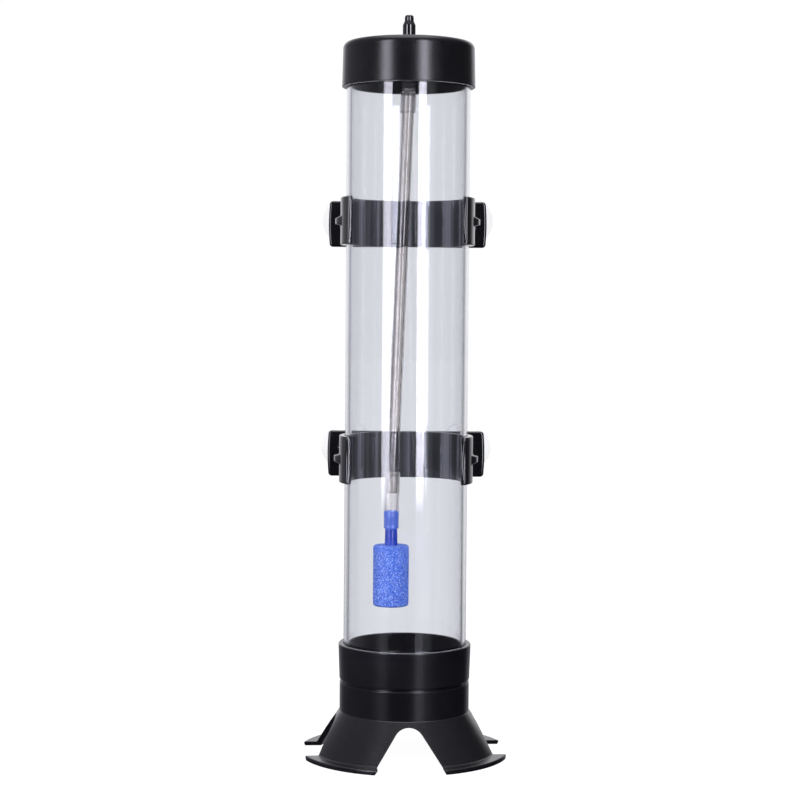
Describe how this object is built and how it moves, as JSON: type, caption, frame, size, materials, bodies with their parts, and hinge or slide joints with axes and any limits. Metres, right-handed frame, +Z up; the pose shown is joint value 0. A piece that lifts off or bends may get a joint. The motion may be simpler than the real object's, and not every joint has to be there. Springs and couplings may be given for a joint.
{
  "type": "carbon dioxide diffuser",
  "caption": "Clear gas bell tube on a footed stand, with a capped inlet, a porous stone hanging inside and suction-cup clips behind, to dissolve carbon dioxide in water.",
  "frame": {"origin": "on the tube's axis, in the plane the toes stand on", "axes": "+Z up along the tube, +Y towards the suction cups, -Y towards the open side of the clips"},
  "size_m": [0.082, 0.082, 0.3],
  "materials": {
    "cap_plastic": "satin",
    "collar_plastic": "satin",
    "stand_plastic": "satin",
    "clip_plastic": "satin",
    "gloss_plastic": "gloss",
    "seal_rubber": "matte",
    "clear_tube": "gloss",
    "smoke_tube": "gloss",
    "clear_hose": "satin",
    "cup_vinyl": "satin",
    "blue_plastic": "gloss",
    "blue_stone": "matte"
  },
  "bodies": {
    "stand": {"stand": "stand_plastic"},
    "tube": {"diffuser_tube": "clear_tube", "base_collar": "collar_plastic"},
    "cap": {"top_cap": "cap_plastic", "cap_gasket": "seal_rubber", "inlet_nipple": "gloss_plastic", "inlet_seal": "seal_rubber", "upper_hose": "clear_hose"},
    "riser": {"riser_tube": "smoke_tube", "lower_hose": "clear_hose"},
    "stone": {"airstone_nozzle": "blue_plastic", "airstone_body": "blue_stone"},
    "upper_clip": {"upper_clip": "clip_plastic"},
    "upper_left_suction_cup": {"upper_left_suction_cup": "cup_vinyl"},
    "upper_right_suction_cup": {"upper_right_suction_cup": "cup_vinyl"},
    "lower_clip": {"lower_clip": "clip_plastic"},
    "lower_left_suction_cup": {"lower_left_suction_cup": "cup_vinyl"},
    "lower_right_suction_cup": {"lower_right_suction_cup": "cup_vinyl"}
  },
  "joints": [
    {"name": "tube_lift", "type": "slide", "parent": "stand", "child": "tube", "axis": [0, 0, 1], "range_m": [0, 0.01]},
    {"name": "cap_lift", "type": "slide", "parent": "tube", "child": "cap", "axis": [0, 0, 1], "range_m": [0, 0.235]},
    {"name": "riser_swing", "type": "hinge", "parent": "cap", "child": "riser", "pos_m": [0, 0, 0.2691], "axis": [0, 1, 0], "range_deg": [-4.6, 1.5], "deforming": ["upper_hose"]},
    {"name": "stone_swing", "type": "hinge", "parent": "riser", "child": "stone", "pos_m": [-0.00579, 0, 0.10325], "axis": [0, 1, 0], "range_deg": [-5, 5], "deforming": ["lower_hose"]},
    {"name": "upper_clip_slide", "type": "slide", "parent": "tube", "child": "upper_clip", "axis": [0, 0, 1], "range_m": [-0.037, 0.039]},
    {"name": "upper_left_cup_turn", "type": "hinge", "parent": "upper_clip", "child": "upper_left_suction_cup", "pos_m": [-0.0263, 0.0285, 0.2192], "axis": [0, 1, 0], "continuous": true},
    {"name": "upper_right_cup_turn", "type": "hinge", "parent": "upper_clip", "child": "upper_right_suction_cup", "pos_m": [0.0263, 0.0285, 0.2192], "axis": [0, 1, 0], "continuous": true},
    {"name": "lower_clip_slide", "type": "slide", "parent": "tube", "child": "lower_clip", "axis": [0, 0, 1], "range_m": [-0.06, 0.037]},
    {"name": "lower_left_cup_turn", "type": "hinge", "parent": "lower_clip", "child": "lower_left_suction_cup", "pos_m": [-0.0263, 0.0285, 0.1229], "axis": [0, 1, 0], "continuous": true},
    {"name": "lower_right_cup_turn", "type": "hinge", "parent": "lower_clip", "child": "lower_right_suction_cup", "pos_m": [0.0263, 0.0285, 0.1229], "axis": [0, 1, 0], "continuous": true}
  ]
}
